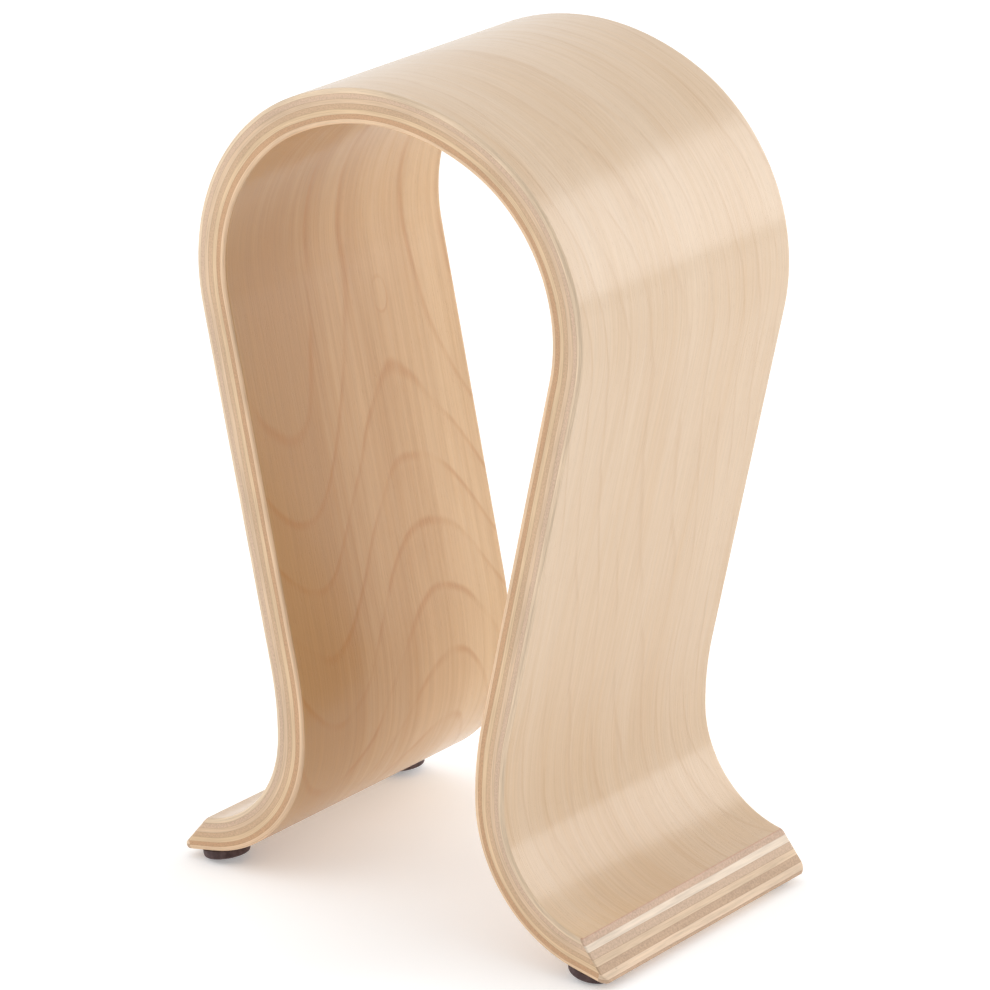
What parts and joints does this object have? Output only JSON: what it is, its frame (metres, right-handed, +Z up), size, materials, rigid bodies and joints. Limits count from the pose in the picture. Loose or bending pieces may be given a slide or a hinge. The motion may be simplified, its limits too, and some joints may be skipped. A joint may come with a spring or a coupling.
{
  "type": "headphone stand",
  "caption": "Bent plywood arch on two flared feet with soft pads; a headband hangs over the rounded crown and the ear cups rest beside the legs.",
  "frame": {"origin": "on the desk, under the middle of the arch", "axes": "+Z up, +X from the left foot to the right foot, +Y from the front edge of the board to its back edge"},
  "size_m": [0.158, 0.1, 0.2524],
  "materials": {
    "face_veneer": "pale birch veneer, grain along the leg, satin clear lacquer",
    "long_grain_ply": "birch veneer with its grain along the leg, sanded and lacquered edges",
    "cross_grain_ply": "birch veneer with its grain front to back, darker end grain on the long edges",
    "pad_rubber": "smooth matt dark brown rubber",
    "pad_adhesive": "thin off-white double-sided tape"
  },
  "bodies": {
    "root": {"outer_face_veneer": "face_veneer", "outer_cross_ply": "cross_grain_ply", "outer_core_ply": "long_grain_ply", "middle_cross_ply": "cross_grain_ply", "inner_core_ply": "long_grain_ply", "inner_cross_ply": "cross_grain_ply", "inner_face_veneer": "face_veneer", "left_front_pad_adhesive": "pad_adhesive", "left_front_pad": "pad_rubber", "left_back_pad_adhesive": "pad_adhesive", "left_back_pad": "pad_rubber", "right_front_pad_adhesive": "pad_adhesive", "right_front_pad": "pad_rubber", "right_back_pad_adhesive": "pad_adhesive", "right_back_pad": "pad_rubber"}
  },
  "joints": []
}
